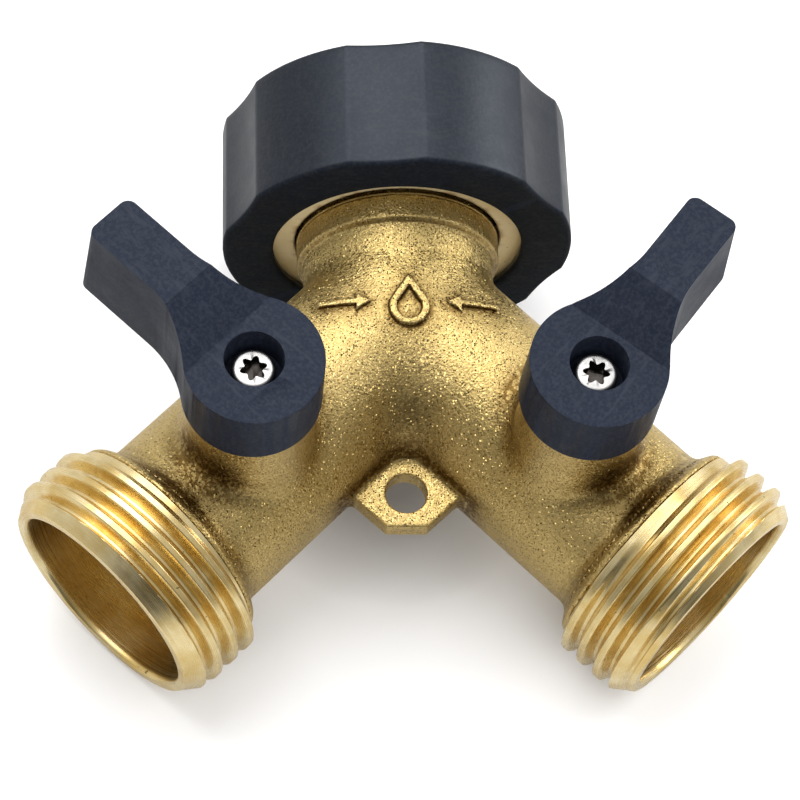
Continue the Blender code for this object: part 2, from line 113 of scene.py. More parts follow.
def valve_frame(side, turn=0.0):
    """Z runs up the stem; X points along the lever once turned."""
    out = VALVE_S * Vector((side * math.sin(OUTLET_ANGLE), -math.cos(OUTLET_ANGLE), 0.0))
    return Matrix.Translation(out) @ Matrix.Rotation(turn, 4, "Z")


LEFT_TURN = math.radians(136)       # the levers at rest, from the port frame's X
RIGHT_TURN = math.radians(52)


# ---- materials -----------------------------------------------------------------------
def node(tree, kind, inputs=None, **settings):
    """Add a shader node; an input that is a socket is linked, and any other is set."""
    made = tree.nodes.new("ShaderNode" + kind)
    for key, value in settings.items():
        setattr(made, key, value)
    for key, value in (inputs or {}).items():
        if isinstance(value, bpy.types.NodeSocket):
            tree.links.new(value, made.inputs[key])
        else:
            made.inputs[key].default_value = value
    return made


def new_material(name, **constants):
    mat = bpy.data.materials.new(name)
    mat.use_nodes = True
    shader = mat.node_tree.nodes["Principled BSDF"]
    for key, value in constants.items():
        shader.inputs[key.replace("_", " ")].default_value = value
    return mat, mat.node_tree, shader


def noise(tree, where, scale, detail=2.0, roughness=0.5):
    return node(tree, "TexNoise", {"Vector": where, "Scale": scale, "Detail": detail,
                                   "Roughness": roughness}).outputs["Fac"]


def mix(tree, factor, a, b, blend="MIX"):
    made = node(tree, "Mix", data_type="RGBA", blend_type=blend)
    for socket, value in ((made.inputs[0], factor), (made.inputs[6], a), (made.inputs[7], b)):
        if isinstance(value, bpy.types.NodeSocket):
            tree.links.new(value, socket)
        elif isinstance(value, tuple):
            socket.default_value = (*value, 1.0)
        else:
            socket.default_value = value
    return made.outputs[2]


def maths(tree, operation, a, b=0.0, clamp=False):
    return node(tree, "Math", {0: a, 1: b}, operation=operation,
                use_clamp=clamp).outputs[0]


def remap(tree, value, low, high, to_low, to_high):
    return node(tree, "MapRange", {"Value": value, "From Min": low, "From Max": high,
                                   "To Min": to_low, "To Max": to_high}).outputs["Result"]


def local(tree):
    """The point in the piece's own frame, whose Z is the axis it was turned about."""
    return node(tree, "Attribute", attribute_name=PLACE).outputs["Vector"]


def bump(tree, height, strength, distance, under=None):
    inputs = {"Height": height, "Strength": strength, "Distance": distance}
    if under is not None:
        inputs["Normal"] = under
    return node(tree, "Bump", inputs).outputs["Normal"]


def flakes(tree, where, scale, tilt, share):
    """Facets of blasted metal: a normal that leans its own way in some of the cells.

    Returns the normal, and 1 in the chosen share of the cells.
    """
    cells = node(tree, "TexVoronoi", {"Vector": where, "Scale": scale}).outputs
    parts = node(tree, "SeparateXYZ", {"Vector": cells["Color"]}).outputs
    chosen = maths(tree, "LESS_THAN", parts["X"], share)
    near = remap(tree, cells["Distance"], 0.30, 0.55, tilt, 0.0)
    amount = maths(tree, "MULTIPLY", chosen, near)
    lean = node(tree, "VectorMath", {0: cells["Color"], 1: (0.5 * share, 0.5, 0.5)},
                operation="SUBTRACT").outputs["Vector"]
    lean = node(tree, "VectorMath", {0: lean, "Scale": amount},
                operation="SCALE").outputs["Vector"]
    facing = node(tree, "NewGeometry").outputs["Normal"]
    turned = node(tree, "VectorMath", {0: facing, 1: lean}, operation="ADD").outputs[0]
    return node(tree, "VectorMath", {0: turned}, operation="NORMALIZE").outputs[0], chosen


def cast_brass():
    """Bead-blasted brass: fine facets, dark pits, painted brown shade in hollows and creases,
    and rubbed edges.
    """
    mat, tree, shader = new_material("cast_brass_look", Metallic=1.0)
    where = local(tree)
    grain = noise(tree, where, 4200.0, 1.0, 0.5)
    fine = noise(tree, where, 7500.0, 1.0)
    cloud = noise(tree, where, 150.0, 3.0)
    facets, chosen = flakes(tree, where, 4600.0, 1.6, 0.45)
    pits = node(tree, "TexVoronoi", {"Vector": where, "Scale": 3300.0}).outputs
    odd = node(tree, "SeparateXYZ", {"Vector": pits["Color"]}).outputs["Y"]
    pit = maths(tree, "MULTIPLY", remap(tree, pits["Distance"], 0.18, 0.34, 0.85, 0.0),
                maths(tree, "LESS_THAN", odd, 0.30))
    base = mix(tree, remap(tree, cloud, 0.3, 0.7, 0.0, 1.0),
               (0.53, 0.385, 0.138), (0.64, 0.475, 0.190))
    base = mix(tree, remap(tree, grain, 0.30, 0.42, 0.45, 0.0), base, (0.16, 0.09, 0.022))
    base = mix(tree, remap(tree, fine, 0.56, 0.70, 0.0, 0.35), base, (0.95, 0.80, 0.46))
    base = mix(tree, pit, base, (0.10, 0.05, 0.012))
    # painted shade: brown where the hollow value says the surface is closed in, in corners,
    # fillets and beside the tab
    hollow = node(tree, "Attribute", attribute_name=HOLLOW).outputs["Fac"]
    gritty = remap(tree, maths(tree, "LESS_THAN", 0.66, odd), 0.0, 1.0, 1.0, 0.62)
    painted_shade = maths(tree, "MULTIPLY", remap(tree, hollow, 0.12, 0.80, 0.0, 0.95), gritty)
    base = mix(tree, painted_shade, base, (0.14, 0.08, 0.02))
    point = node(tree, "NewGeometry").outputs["Pointiness"]
    # painted shade: darker brown in concave creases, from pointiness
    base = mix(tree, remap(tree, point, 0.43, 0.49, 0.6, 0.0), base, (0.13, 0.07, 0.02))
    base = mix(tree, remap(tree, point, 0.52, 0.58, 0.0, 0.4), base, (0.93, 0.74, 0.36))
    tree.links.new(base, shader.inputs["Base Color"])
    rough = maths(tree, "SUBTRACT", remap(tree, cloud, 0.3, 0.7, 0.44, 0.54),
                  maths(tree, "MULTIPLY", chosen, 0.16))
    tree.links.new(rough, shader.inputs["Roughness"])
    tree.links.new(bump(tree, grain, 0.6, 0.00011, facets), shader.inputs["Normal"])
    return mat


def turned_coords(tree, stretch):
    """(radius, along, a little of the angle), so that marks run round the axis."""
    parts = node(tree, "SeparateXYZ", {"Vector": local(tree)}).outputs
    flat = node(tree, "CombineXYZ", {"X": parts["X"], "Y": parts["Y"]}).outputs[0]
    radius = node(tree, "VectorMath", {0: flat}, operation="LENGTH").outputs["Value"]
    turn = maths(tree, "ARCTAN2", parts["Y"], parts["X"])
    turn = maths(tree, "MULTIPLY", turn, stretch)
    return node(tree, "CombineXYZ", {"X": radius, "Y": parts["Z"], "Z": turn}).outputs[0]


def turned_brass(name, light, dark, rough, metal=1.0):
    """Machined brass with fine turning marks, faint stains, bright edges and painted shade in
    creases.
    """
    mat, tree, shader = new_material(name, Metallic=metal)
    rings = noise(tree, turned_coords(tree, 0.00005), 9000.0, 2.0)
    coarse = noise(tree, turned_coords(tree, 0.0004), 1200.0, 2.0)
    stain = noise(tree, local(tree), 260.0, 3.0, 0.6)
    base = mix(tree, remap(tree, stain, 0.35, 0.68, 0.0, 1.0), light, dark)
    base = mix(tree, remap(tree, coarse, 0.35, 0.65, 0.0, 0.35), base, dark)
    tarnish = noise(tree, local(tree), 110.0, 5.0, 0.65)
    base = mix(tree, remap(tree, tarnish, 0.60, 0.74, 0.0, 0.6), base, (0.30, 0.19, 0.06))
    specks = noise(tree, local(tree), 1500.0, 2.0, 0.6)
    base = mix(tree, remap(tree, specks, 0.715, 0.75, 0.0, 0.8), base, (0.07, 0.04, 0.01))
    point = node(tree, "NewGeometry").outputs["Pointiness"]
    base = mix(tree, remap(tree, point, 0.52, 0.60, 0.0, 0.6), base, (0.95, 0.78, 0.42))
    # painted shade: darker brown in concave creases, from pointiness
    base = mix(tree, remap(tree, point, 0.42, 0.49, 0.6, 0.0), base, (0.42, 0.20, 0.04))
    tree.links.new(base, shader.inputs["Base Color"])
    tree.links.new(remap(tree, rings, 0.3, 0.7, rough, rough + 0.14),
                   shader.inputs["Roughness"])
    tree.links.new(bump(tree, rings, 0.25, 0.00003), shader.inputs["Normal"])
    return mat


def moulded(name, dark, light, rough, gloss, grain, depth, scuff=0.0, matt_below=0.0):
    """Moulded plastic or rubber: fine grain, cloudy gloss, scuffs and rubbed edges.

    scuff is how pale the handling marks are; below matt_below along its axis the
    surface is matt.
    """
    mat, tree, shader = new_material(name, Metallic=0.0, Specular_IOR_Level=gloss,
                                     Specular_Tint=(0.78, 0.86, 1.0, 1.0))
    where = local(tree)
    fine = noise(tree, where, grain, 2.0, 0.6)
    cloud = noise(tree, where, 160.0, 4.0, 0.6)
    base = mix(tree, remap(tree, cloud, 0.3, 0.7, 0.0, 1.0), dark, light)
    base = mix(tree, remap(tree, fine, 0.55, 0.75, 0.0, 0.25), base,
               tuple(min(1.0, c * 2.2) for c in light))
    if scuff:
        pale = tuple(scuff * c for c in (0.72, 0.86, 1.0))
        dust = noise(tree, where, 2600.0, 3.0, 0.7)
        base = mix(tree, remap(tree, dust, 0.44, 0.64, 0.0, 0.8), base, pale)
        rubs = node(tree, "Mapping", {"Vector": where, "Rotation": (0.0, 0.0, 0.6),
                                      "Scale": (300.0, 1500.0, 900.0)}).outputs[0]
        rub = noise(tree, rubs, 1.0, 4.0, 0.65)
        base = mix(tree, remap(tree, rub, 0.55, 0.68, 0.0, 0.9), base, pale)
    point = node(tree, "NewGeometry").outputs["Pointiness"]
    base = mix(tree, remap(tree, point, 0.53, 0.62, 0.0, 0.5), base,
               tuple(min(1.0, c * 3.0) for c in light))
    tree.links.new(base, shader.inputs["Base Color"])
    gleam = remap(tree, cloud, 0.3, 0.7, rough - 0.07, rough + 0.09)
    if matt_below:
        height = node(tree, "SeparateXYZ", {"Vector": where}).outputs["Z"]
        gleam = maths(tree, "ADD", gleam, remap(tree, height, matt_below - 0.0003,
                                                matt_below, 0.5, 0.0), clamp=True)
    tree.links.new(gleam, shader.inputs["Roughness"])
    tree.links.new(bump(tree, fine, 0.5, depth), shader.inputs["Normal"])
    return mat


def bright_metal(name, colour, rough, socket_r=0.0, socket_z=0.0):
    """Steel with faint brushing; with socket_r, painted shade deep inside socket_r below
    socket_z and round the head's outer edge, as in a screw.
    """
    mat, tree, shader = new_material(name, Metallic=1.0)
    marks = noise(tree, turned_coords(tree, 0.0006), 6000.0, 2.0)
    smudge = noise(tree, local(tree), 900.0, 3.0)
    shade = tuple(0.55 * c for c in colour)
    base = mix(tree, remap(tree, smudge, 0.35, 0.75, 0.0, 0.6), colour, shade)
    # painted shade: dark deep in the socket and round the head's outer edge, where the lever's
    # recess shades it
    if socket_r:
        place = node(tree, "SeparateXYZ", {"Vector": turned_coords(tree, 0.0)}).outputs
        deep = remap(tree, place["Y"], socket_z - 0.00030, socket_z - 0.00008, 1.0, 0.0)
        inside = maths(tree, "LESS_THAN", place["X"], socket_r)
        edge = remap(tree, place["X"], socket_r + 0.0004, socket_r + 0.0007, 0.0, 0.85)
        painted_shade = maths(tree, "ADD", maths(tree, "MULTIPLY", deep, inside), edge, clamp=True)
        base = mix(tree, painted_shade, base, (0.045, 0.040, 0.036))
    tree.links.new(base, shader.inputs["Base Color"])
    tree.links.new(remap(tree, marks, 0.3, 0.7, rough, rough + 0.12),
                   shader.inputs["Roughness"])
    tree.links.new(bump(tree, marks, 0.2, 0.00002), shader.inputs["Normal"])
    return mat


MATS = {
    "cast_brass": cast_brass(),
    "threads": turned_brass("thread_brass_look", (0.90, 0.76, 0.44), (0.70, 0.50, 0.18),
                            0.22),
    "nut_brass": turned_brass("nut_brass_look", (0.98, 0.86, 0.56), (0.90, 0.75, 0.43),
                              0.36, 0.18),
    "turned_brass": turned_brass("turned_brass_look", (0.80, 0.66, 0.37),
                                 (0.70, 0.54, 0.25), 0.28),
    "black_rubber": moulded("black_rubber_look", (0.0016, 0.0028, 0.0062),
                            (0.004, 0.0062, 0.0125), 0.38, 0.38, 2600.0, 0.00003,
                            0.016, 0.0100),
    "black_plastic": moulded("black_plastic_look", (0.0030, 0.0042, 0.0085),
                             (0.0060, 0.0078, 0.0140), 0.46, 0.13, 3400.0, 0.00003,
                             0.040),
    "seal_rubber": moulded("seal_rubber_look", (0.010, 0.010, 0.010),
                           (0.020, 0.020, 0.021), 0.62, 0.3, 2400.0, 0.00003),
    "seat_plastic": moulded("seat_plastic_look", (0.74, 0.72, 0.66),
                            (0.84, 0.83, 0.79), 0.42, 0.5, 2000.0, 0.00001),
    "bright_steel": bright_metal("bright_steel_look", (0.78, 0.78, 0.80), 0.20),
    "screw_steel": bright_metal("screw_steel_look", (0.50, 0.49, 0.48), 0.30,
                                0.00145, 0.0233),
    "plated_ball": bright_metal("plated_ball_look", (0.82, 0.82, 0.84), 0.10),
}


# ---- making pieces -------------------------------------------------------------------
def keep_place(mesh):
    flat = np.zeros(len(mesh.vertices) * 3, np.float32)
    mesh.vertices.foreach_get("co", flat)
    layer = mesh.attributes.new(PLACE, "FLOAT_VECTOR", "POINT")
    layer.data.foreach_set("vector", flat)


def piece(name, mesh, place, body, slot, replaces=(), look=None, *, sharp):
    """A mesh in millimetres becomes a piece at place, riding on a CAD body.

    Edges sharper than sharp, in degrees, stay crisp.  The object keeps the world's axes,
    so that its box is no larger than its shape.
    """
    mesh.transform(Matrix.Scale(MM, 4))
    keep_place(mesh)
    mesh.shade_smooth()
    mesh.set_sharp_from_angle(angle=math.radians(sharp))
    mesh.materials.clear()
    mesh.materials.append(MATS[look or slot])
    obj = bpy.data.objects.new(name, mesh)
    bpy.context.scene.collection.objects.link(obj)
    place = place.copy()
    place.translation *= MM
    place = PORT @ place
    mesh.transform(place.to_3x3().to_4x4())
    obj.location = place.translation
    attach(obj, body)
    if replaces:
        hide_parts(*replaces)


def mesh_from(verts, faces):
    mesh = bpy.data.meshes.new("mesh")
    mesh.from_pydata([tuple(v) for v in verts], [], [tuple(f) for f in faces])
    mesh.update()
    return mesh


def mesh_from_bm(bm):
    bmesh.ops.recalc_face_normals(bm, faces=bm.faces)
    mesh = bpy.data.meshes.new("mesh")
    bm.to_mesh(mesh)
    bm.free()
    return mesh


def boolean(mesh, cutter, operation):
    """Combine two meshes and return the result as a new mesh."""
    main = bpy.data.objects.new("boolean_main", mesh)
    tool = bpy.data.objects.new("boolean_tool", cutter)
    for obj in (main, tool):
        bpy.context.scene.collection.objects.link(obj)
    mod = main.modifiers.new("boolean", "BOOLEAN")
    mod.operation = operation
    mod.solver = "EXACT"
    mod.object = tool
    return bake(main, (tool,))


def bake(obj, extra=()):
    """Apply an object's modifiers, remove it, and return the mesh."""
    bpy.context.view_layer.update()
    graph = bpy.context.evaluated_depsgraph_get()
    made = bpy.data.meshes.new_from_object(obj.evaluated_get(graph), depsgraph=graph)
    for old in (obj, *extra):
        bpy.data.objects.remove(old)
    return made


def bevelled(mesh, width, angle, segments):
    obj = bpy.data.objects.new("bevel", mesh)
    bpy.context.scene.collection.objects.link(obj)
    mod = obj.modifiers.new("bevel", "BEVEL")
    mod.width = width
    mod.segments = segments
    mod.limit_method = "ANGLE"
    mod.angle_limit = math.radians(angle)
    mod.miter_outer = "MITER_ARC"
    return bake(obj)


def ring_grid(radius_of, outline, steps):
    """Closed skin about Z: outline is a closed list of (along, radius) stations.

    radius_of(angle, along, radius) gives each point's final radius.
    """
    angles = np.arange(steps) * TAU / steps
    along = np.array([a for a, _ in outline])[:, None]
    radius = np.array([r for _, r in outline])[:, None]
    final = radius_of(angles[None, :], along, radius)
    verts = np.stack([final * np.cos(angles), final * np.sin(angles),
                      np.broadcast_to(along, final.shape)], axis=-1).reshape(-1, 3)
    count = len(outline)
    row = np.arange(count)[:, None]
    col = np.arange(steps)[None, :]
    below, right = (row + 1) % count, (col + 1) % steps
    faces = np.stack([row * steps + col, row * steps + right,
                      below * steps + right, below * steps + col],
                     axis=-1).reshape(-1, 4)
    mesh = mesh_from(verts.tolist(), faces.tolist())
    bm = bmesh.new()
    bm.from_mesh(mesh)
    return mesh_from_bm(bm)


def plain_radius(angle, along, radius):
    return np.broadcast_to(radius, (radius.shape[0], angle.shape[1])).copy()


def rounded(outline, radius, steps=4):
    """Round every corner of a closed (x, y) outline."""
    points = []
    count = len(outline)
    for k in range(count):
        here = Vector(outline[k])
        before = Vector(outline[k - 1]) - here
        after = Vector(outline[(k + 1) % count]) - here
        reach = min(radius, 0.45 * before.length, 0.45 * after.length)
        a = here + before.normalized() * reach
        b = here + after.normalized() * reach
        for step in range(steps + 1):
            t = step / steps
            points.append(tuple((1 - t) ** 2 * a + 2 * t * (1 - t) * here + t * t * b))
    return points


def lathe(outline, steps, edge):
    """Turn a closed (along, radius) outline, with its corners eased."""
    return ring_grid(plain_radius, rounded(outline, edge, 3), steps)


def solid_lathe(outline, steps, edge=0.0):
    """Turn an outline whose two ends lie on the axis."""
    eased = rounded(outline, edge, 3) if edge else outline
    bm = bmesh.new()
    verts = [bm.verts.new((max(r, 0.0), 0.0, a)) for a, r in eased]
    edges = [bm.edges.new(pair) for pair in zip(verts, verts[1:] + verts[:1])]
    bmesh.ops.spin(bm, geom=verts + edges, axis=(0, 0, 1), cent=(0, 0, 0), angle=TAU,
                   steps=steps, use_merge=True)
    bmesh.ops.remove_doubles(bm, verts=bm.verts, dist=1e-3)
    bmesh.ops.dissolve_degenerate(bm, edges=bm.edges, dist=1e-4)
    return mesh_from_bm(bm)


def arc(centre, radius, start, end, steps):
    return [(centre[0] + radius * math.cos(start + (end - start) * k / steps),
             centre[1] + radius * math.sin(start + (end - start) * k / steps))
            for k in range(steps + 1)]


def prism(outline, low, high):
    bm = bmesh.new()
    face = bm.faces.new([bm.verts.new((x, y, low)) for x, y in outline])
    grown = bmesh.ops.extrude_face_region(bm, geom=[face])["geom"]
    top = [item for item in grown if isinstance(item, bmesh.types.BMVert)]
    bmesh.ops.translate(bm, verts=top, vec=(0, 0, high - low))
    return mesh_from_bm(bm)


# ---- the casting, as a blended distance field ----------------------------------------
def polygon_field(u, v, outline, skip_axis=False):
    """Signed distance to a closed outline; edges on the axis v = 0 may be left out."""
    nearest = np.full(u.shape, 1e9, u.dtype)
    inside = np.zeros(u.shape, bool)
    for k, (bu, bv) in enumerate(outline):
        au, av = outline[k - 1]
        eu, ev = bu - au, bv - av
        wu, wv = u - au, v - av
        if not (skip_axis and av == 0.0 and bv == 0.0):
            t = np.clip((wu * eu + wv * ev) / (eu * eu + ev * ev), 0.0, 1.0)
            nearest = np.minimum(nearest, (wu - t * eu) ** 2 + (wv - t * ev) ** 2)
        if ev != 0.0:
            crosses = (av <= v) != (bv <= v)
            inside ^= crosses & (u < au + (v - av) * eu / ev)
    distance = np.sqrt(nearest)
    return np.where(inside, -distance, distance)


def lathe_field(points, place, outline):
    """Signed distance to a solid turned about place's Z axis."""
    turn = np.array(place.inverted())[:3]
    near = points @ turn[:, :3].T.astype(points.dtype) + turn[:, 3].astype(points.dtype)
    return polygon_field(near[:, 2], np.hypot(near[:, 0], near[:, 1]), outline, True)


def join(a, b, soft):
    h = np.maximum(soft - np.abs(a - b), 0.0) / soft
    return np.minimum(a, b) - h * h * soft * 0.25


def meet(a, b, soft):
    h = np.maximum(soft - np.abs(a - b), 0.0) / soft
    return np.maximum(a, b) + h * h * soft * 0.25


# Each limb is a closed (along, radius) outline, turned about its own axis.
ARM_OUTLINE = [(-8.0, 0.0), (-6.5, 5.0), (-3.6, 8.6), (0.0, ARM_R), (32.65, ARM_R),
               (33.25, ARM_R + 0.15), (33.8, ARM_R + 0.62), (34.2, 11.35), (34.5, 11.8),
               (34.8, 12.03), (CAST_END_S, 12.1), (CAST_END_S, 0.0)]
NECK_OUTLINE = [(-4.5, 0.0), (-3.6, 7.0), (-1.0, ARM_R - 0.4), (1.5, ARM_R - 0.1),
                (4.5, ARM_R - 0.02), (6.0, 10.30), (6.95, 10.42), (7.15, 10.50),
                (7.5, 10.87), (7.7, 10.94), (COLLAR_Y, 10.95), (COLLAR_Y, 0.0)]
BOSS_OUTLINE = [(4.0, 0.0), (4.0, BOSS_R + 0.5), (9.5, BOSS_R + 0.35), (12.5, BOSS_R + 0.05),
                (BOSS_TOP - 0.3, BOSS_R), (BOSS_TOP, BOSS_R - 0.3), (BOSS_TOP, 0.0)]
TAB_OUTLINE = [(-5.4, -11.0), (-5.5, -20.4), (-2.1, -23.6), (2.1, -23.6), (5.5, -20.4),
               (5.4, -11.0)]
TAB_HALF_T = 1.1
TAB_HOLE_Y, TAB_HOLE_R = -19.8, 2.12


def arrow(side):
    right = [(3.9, 0.0), (5.5, 1.1), (5.5, 0.40), (9.4, 0.40), (9.4, -0.40),
             (5.5, -0.40), (5.5, -1.1)]
    return [(side * x, y) for x, y in right]


DROP = [(0.0, 2.6)] + arc((0.0, -0.7), 1.85, math.radians(155), math.radians(385), 24)
DROP_INSET = 0.15
DROP_HALF_LINE = 0.42
MARK_Y = -2.2
MARK_HEIGHT = 0.5
MARK_LOW_Z = 5.0                    # the mark is on the top only
# reach of each fillet
CROTCH_SOFT, BACK_SOFT = 4.2, 1.0   # between the arms, in front and behind
NECK_SOFT = 1.2
BOSS_SOFT = 1.5
TAB_SOFT, TAB_EDGE = 0.9, 0.35
MARK_SOFT = 0.2
SOFT_EDGE = 0.3


def cut_field(points):
    """The waterways and the stem bores."""
    away = np.full(len(points), 1e3, points.dtype)
    for side in (-1, 1):
        bore = [(-1.0, 0.0), (-1.0, PASSAGE_R), (CHAMBER_S, PASSAGE_R),
                (CHAMBER_S, CHAMBER_R), (END_CUT_S, CHAMBER_R), (END_CUT_S, END_CUT_R),
                (36.5, END_CUT_R), (36.5, 0.0)]
        stem = [(0.0, 0.0), (0.0, 4.2), (10.3, 4.2), (10.3, STEM_BORE_R),
                (19.0, STEM_BORE_R), (19.0, 0.0)]
        away = np.minimum(away, lathe_field(points, outlet_frame(side), bore))
        away = np.minimum(away, lathe_field(points, valve_frame(side), stem))
    inlet = [(-2.0, 0.0), (-2.0, INLET_BORE_R), (20.0, INLET_BORE_R), (20.0, 0.0)]
    return np.minimum(away, lathe_field(points, INLET, inlet))


def casting_field(points):
    """Distance to the casting: limbs, neck, bosses and tab, run together as cast."""
    x, y, z = points.T
    arms = [lathe_field(points, outlet_frame(side), ARM_OUTLINE) for side in (-1, 1)]
    crotch = np.clip((-2.0 - y) / 12.0, 0.0, 1.0)
    field = join(arms[0], arms[1], BACK_SOFT + (CROTCH_SOFT - BACK_SOFT) * crotch)
    field = join(field, lathe_field(points, INLET, NECK_OUTLINE), NECK_SOFT)
    for side in (-1, 1):
        boss = lathe_field(points, valve_frame(side), BOSS_OUTLINE)
        field = join(field, boss, BOSS_SOFT)
    tab = meet(polygon_field(x, y, TAB_OUTLINE), np.abs(z) - TAB_HALF_T, TAB_EDGE)
    field = join(field, tab, TAB_SOFT)
    hole = np.hypot(x, y - TAB_HOLE_Y) - TAB_HOLE_R
    field = meet(field, -hole, SOFT_EDGE)
    drop = polygon_field(x, y - MARK_Y, DROP)
    marks = np.abs(drop + DROP_INSET) - DROP_HALF_LINE
    for side in (-1, 1):
        marks = np.minimum(marks, polygon_field(x, y - MARK_Y, arrow(side)))
    raised = meet(meet(marks, field - MARK_HEIGHT, SOFT_EDGE), MARK_LOW_Z - z, SOFT_EDGE)
    field = join(field, raised, MARK_SOFT)
    return np.maximum(field, -cut_field(points))


def surface_net(field_of, low, high, size):
    """Quads round every cell that the surface passes through."""
    low, high = np.array(low, np.float32), np.array(high, np.float32)
    counts = np.ceil((high - low) / size).astype(int) + 1
    axes = [low[k] + size * np.arange(counts[k], dtype=np.float32) for k in range(3)]
    grid = np.stack(np.meshgrid(*axes, indexing="ij"), axis=-1).reshape(-1, 3)
    field = np.concatenate([field_of(part) for part in np.array_split(grid, 8)])
    field = field.reshape(counts)
    solid = field < 0.0
    total = np.zeros([*(counts - 1), 3], np.float32)
    hits = np.zeros(counts - 1, np.int32)
    corners = [(i, j, k) for i in (0, 1) for j in (0, 1) for k in (0, 1)]

    def shifted(array, corner):
        return array[tuple(slice(c, array.shape[n] - 1 + c) for n, c in enumerate(corner))]

    for start in corners:
        for axis in range(3):
            if start[axis]:
                continue
            end = tuple(c + (n == axis) for n, c in enumerate(start))
            fa, fb = shifted(field, start), shifted(field, end)
            crossed = (fa < 0.0) != (fb < 0.0)
            share = np.where(crossed, fa / np.where(crossed, fa - fb, 1.0), 0.0)
            for n in range(3):
                offset = start[n] + (share if n == axis else 0.0)
                total[..., n] += np.where(crossed, offset, 0.0)
            hits += crossed
    active = hits > 0
    index = np.full(active.shape, -1, np.int64)
    index[active] = np.arange(active.sum())
    cells = np.argwhere(active)
    verts = low + size * (cells + total[active] / hits[active][:, None])
    faces = []
    for axis in range(3):
        a, b = (axis + 1) % 3, (axis + 2) % 3
        lower = [slice(1, -1)] * 3
        upper = [slice(1, -1)] * 3
        lower[axis] = slice(0, -1)
        upper[axis] = slice(1, None)
        flips = solid[tuple(lower)] != solid[tuple(upper)]
        spots = np.argwhere(flips)
        spots[:, a] += 1
        spots[:, b] += 1
        quad = []
        for da, db in ((-1, -1), (0, -1), (0, 0), (-1, 0)):
            cell = spots.copy()
            cell[:, a] += da
            cell[:, b] += db
            quad.append(index[tuple(cell.T)])
        faces.append(np.stack(quad, axis=-1))
    return verts, np.concatenate(faces)


def settle(points, field_of, rounds, reach):
    """Move points onto the surface along the field's slope."""
    points = points.astype(np.float64)
    tick = 0.02
    for _ in range(rounds):
        value = field_of(points)
        slope = np.zeros_like(points)
        for n in range(3):
            step = np.zeros(3)
            step[n] = tick
            slope[:, n] = (field_of(points + step) - field_of(points - step)) / (2 * tick)
        size = np.maximum((slope ** 2).sum(1), 0.2)
        move = -(value / size)[:, None] * slope
        length = np.maximum(np.linalg.norm(move, axis=1, keepdims=True), 1e-9)
        points += move * np.minimum(1.0, reach / length)
    return points


def refine(mesh, wanted, cuts):
    """Split the faces whose centre is wanted."""
    bm = bmesh.new()
    bm.from_mesh(mesh)
    faces = [f for f in bm.faces if wanted(f.calc_center_median())]
    edges = list({e for f in faces for e in f.edges})
    bmesh.ops.subdivide_edges(bm, edges=edges, cuts=cuts, use_grid_fill=True)
    bmesh.ops.triangulate(bm, faces=[f for f in bm.faces if len(f.verts) > 4])
    bm.to_mesh(mesh)
    bm.free()
    return mesh


def detailed_zone(centre):
    on_mark = abs(centre.x) < 10.2 and -5.6 < centre.y < 1.6 and centre.z > 5.0
    on_tab = abs(centre.x) < 7.5 and -24.5 < centre.y < -14.0 and abs(centre.z) < 2.2
    on_step = 6.6 < centre.y < 8.3 and math.hypot(centre.x, centre.z) > 10.0
    return on_mark or on_tab or on_step or on_rim(centre)


def on_rim(centre):
    """On the edge where the cast skin ends, beside the threads."""
    along = abs(centre.x) * math.sin(OUTLET_ANGLE) - centre.y * math.cos(OUTLET_ANGLE)
    before, beyond = 1.5, 0.4
    return -before < along - CAST_END_S < beyond


def mesh_points(mesh):
    flat = np.zeros(len(mesh.vertices) * 3, np.float32)
    mesh.vertices.foreach_get("co", flat)
    return flat.reshape(-1, 3)


def slope_of(points, field_of):
    """Unit vectors that point straight away from the surface."""
    tick = 0.05
    slope = np.zeros_like(points)
    for n in range(3):
        step = np.zeros(3)
        step[n] = tick
        slope[:, n] = field_of(points + step) - field_of(points - step)
    return slope / np.maximum(np.linalg.norm(slope, axis=1, keepdims=True), 1e-9)


def mark_hollows(mesh, points, field_of):
    """Store how closed in each vertex is, from how fast the metal falls away; the cast brass
    paints shade from it.
    """
    outward = slope_of(points, field_of)
    hollow = np.zeros(len(points))
    for height, weight in ((0.8, 0.30), (2.2, 0.45), (5.0, 0.45)):
        gap = field_of(points + outward * height)
        hollow += weight * np.clip((height - gap) / height, 0.0, 1.0) * 2.2
    x, y, z = points.T
    arms = np.minimum(*(lathe_field(points, outlet_frame(side), ARM_OUTLINE)
                        for side in (-1, 1)))
    # on the tab's top the painted shade is kept only near the arms, which shade it
    on_tab = (polygon_field(x, y, TAB_OUTLINE) < 0.1) & (np.abs(z) < TAB_HALF_T + 0.3)
    hollow = np.where(on_tab, hollow * np.clip((0.8 - arms) / 0.5, 0.0, 1.0), hollow)
    layer = mesh.attributes.new(HOLLOW, "FLOAT", "POINT")
    layer.data.foreach_set("value", np.clip(hollow, 0.0, 1.0).astype(np.float32))


def make_casting():
    verts, faces = surface_net(casting_field, CASTING_LOW, CASTING_HIGH, VOXEL)
    verts = settle(verts, casting_field, 3, VOXEL)
    mesh = refine(mesh_from(verts.tolist(), faces.tolist()), detailed_zone, 2)
    verts = settle(mesh_points(mesh), casting_field, 3, 0.15)
    mesh.vertices.foreach_set("co", verts.astype(np.float32).ravel())
    mesh.update()
    bm = bmesh.new()
    bm.from_mesh(mesh)
    mesh = mesh_from_bm(bm)
    mark_hollows(mesh, verts, casting_field)
    piece("casting", mesh, Matrix.Identity(4), "splitter_body", "cast_brass",
          ("body",), sharp=50)


# ---- outlets and inlet ---------------------------------------------------------------
def stations(runs):
    """Straight runs of (along, radius) points, each split into its own step count."""
    points = []
    for a, b, steps in runs:
        for k in range(steps):
            t = k / steps
            points.append((a[0] + (b[0] - a[0]) * t, a[1] + (b[1] - a[1]) * t))
    return points


